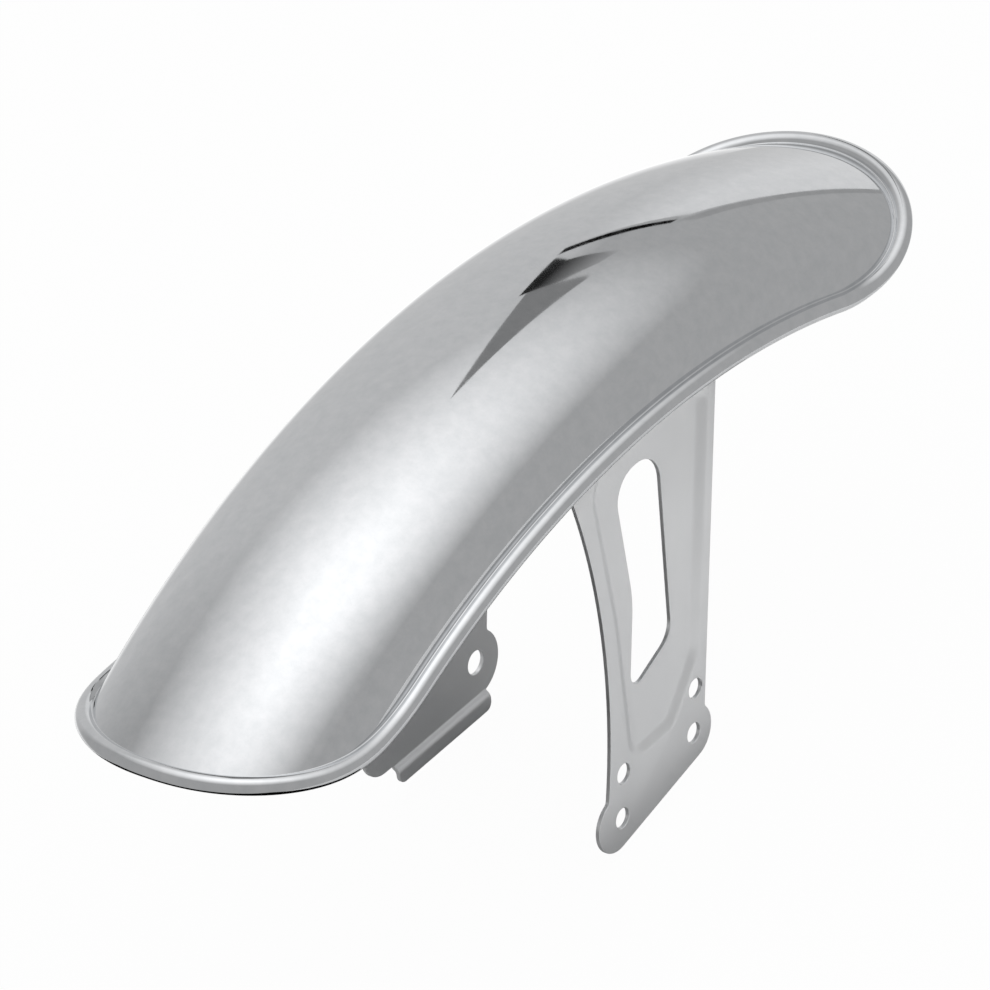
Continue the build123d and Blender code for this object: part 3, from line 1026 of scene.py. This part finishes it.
    def table_paper(self) -> bpy.types.Object:
        """Lay the white sheet that the undersides and the stays mirror, in its own soft shade."""
        material, tree = empty_material("White_table_paper")
        paper = add_node(tree, "ShaderNodeBsdfDiffuse", {"Color": linear_colour(self.paper_colour)})
        add_node(tree, "ShaderNodeOutputMaterial", links={"Surface": paper.outputs[0]})
        bpy.ops.object.select_all(action="DESELECT")
        bpy.ops.mesh.primitive_circle_add(
            vertices=self.paper_segments,
            radius=self.paper_radius * MM,
            fill_type="NGON",
            location=(0.0, 0.0, (self.floor_height + self.paper_lift) * MM),
        )
        paper_sheet = newest("table_paper")
        paper_sheet.data.materials.append(material)
        paper_sheet.visible_camera = False
        paper_sheet.visible_shadow = False
        paper_sheet.visible_diffuse = False
        paper_sheet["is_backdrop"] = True
        return paper_sheet

    def painted_dark_sheet(self, strip: PaintedDarkSheet) -> bpy.types.Object:
        """Lay a strip of dark sheet on the paper, which only the plating sees: it paints shade and dark
        reflections into what mirrors it, keeping that darker.

        Args:
            strip: Its name, colour and corners.

        Returns:
            The strip.
        """
        material, tree = empty_material(strip.name + "_cloth")
        stage_surface = add_node(tree, "ShaderNodeBsdfDiffuse", {"Color": linear_colour(strip.colour)})
        add_node(tree, "ShaderNodeOutputMaterial", links={"Surface": stage_surface.outputs[0]})
        bpy.ops.object.select_all(action="DESELECT")
        bpy.ops.mesh.primitive_plane_add(size=1.0)
        laid_strip = newest(strip.name)

        def laid(corner: Vector) -> Vector:
            across_x = strip.low[0] + (strip.high[0] - strip.low[0]) * (corner.x + 0.5)
            across_y = strip.low[1] + (strip.high[1] - strip.low[1]) * (corner.y + 0.5)
            return Vector((across_x, across_y, self.floor_height + self.dark_sheet_lift))

        seat_vertices(laid_strip, laid)
        laid_strip.data.materials.append(material)
        # Hidden from the camera, shadows and diffuse light: the sheet only puts painted shade and painted
        # reflections into the plating.
        laid_strip.visible_camera = False
        laid_strip.visible_shadow = False
        laid_strip.visible_diffuse = False
        laid_strip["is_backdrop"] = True
        return laid_strip

    def tent(self) -> bpy.types.Object:
        """Hang the light tent, far enough out that it lights every part of the mudguard alike."""
        bpy.ops.object.select_all(action="DESELECT")
        bpy.ops.mesh.primitive_uv_sphere_add(
            segments=self.tent_segments, ring_count=self.tent_rings, radius=self.tent_radius * MM
        )
        tent = newest("light_tent")
        bpy.ops.object.shade_smooth()
        tent.data.materials.append(self.tent_material())
        tent.visible_camera = False
        tent.visible_shadow = False
        tent.visible_transmission = False
        tent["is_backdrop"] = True
        return tent

    def hang(self, card: Card) -> bpy.types.Object:
        """Hang one card just inside the tent.

        Args:
            card: Its name, corners and colours.

        Returns:
            The card.
        """
        material, tree = empty_material(card.name + "_cloth")
        glow = add_node(
            tree,
            "ShaderNodeEmission",
            {"Color": linear_colour(card.colour), "Strength": 1 / self.metal_reflectance},
        )
        if card.fade_to:
            place = add_node(tree, "ShaderNodeTexCoord")
            parts = add_node(tree, "ShaderNodeSeparateXYZ", links={0: place.outputs["Object"]})
            turn = add_node(
                tree,
                "ShaderNodeMath",
                links={0: parts.outputs["Y"], 1: parts.outputs["X"]},
                operation="ARCTAN2",
            )
            share = add_node(
                tree,
                "ShaderNodeMapRange",
                {"From Min": math.radians(card.fade[0]), "From Max": math.radians(card.fade[1])},
                {"Value": turn.outputs[0]},
            )
            mixed = add_node(
                tree,
                "ShaderNodeMix",
                {MIX_FIRST: linear_colour(card.colour), MIX_SECOND: linear_colour(card.fade_to)},
                {MIX_SHARE: share.outputs["Result"]},
                data_type="RGBA",
            )
            tree.links.new(mixed.outputs[MIX_RESULT], glow.inputs["Color"])
        add_node(tree, "ShaderNodeOutputMaterial", links={"Surface": glow.outputs[0]})
        bpy.ops.object.select_all(action="DESELECT")
        bpy.ops.mesh.primitive_circle_add(vertices=len(card.corners), fill_type="NGON")
        hung = newest(card.name)
        radius = self.card_share * self.tent_radius * MM
        for vertex, (azimuth, elevation) in zip(hung.data.vertices, card.corners):
            heading, tilt = math.radians(azimuth), math.radians(elevation)
            level = math.cos(tilt)
            direction = Vector((level * math.cos(heading), level * math.sin(heading), math.sin(tilt)))
            vertex.co = direction * radius
        hung.data.materials.append(material)
        hung.visible_camera = False
        hung.visible_shadow = False
        hung.visible_diffuse = False
        hung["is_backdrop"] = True
        return hung

    def build(self) -> None:
        """Set up the whole studio."""
        scene = bpy.context.scene
        scene.view_settings.view_transform = "Standard"
        self.camera()
        self.world()
        self.floor()
        self.table_paper()
        self.tent()
        for strip in PAINTED_DARK_SHEETS:
            self.painted_dark_sheet(strip)
        for card in CARDS:
            self.hang(card)


def main() -> None:
    """Build the mudguard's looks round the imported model."""
    logging.basicConfig(level=logging.INFO, format="%(message)s")
    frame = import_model()
    cad_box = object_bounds()
    lowest = cad_box[0][2]
    Studio(floor_height=lowest / MM).build()
    blade = ChromedBlade(BladeShape(), MirrorChrome().build()).build()
    log.info("blade: %d faces", len(blade.data.polygons))
    for stay in PressedStays(frame["nodes"], SatinPlate().build()).build():
        log.info("stay: %s", stay.name)


if __name__ == "__main__":
    main()
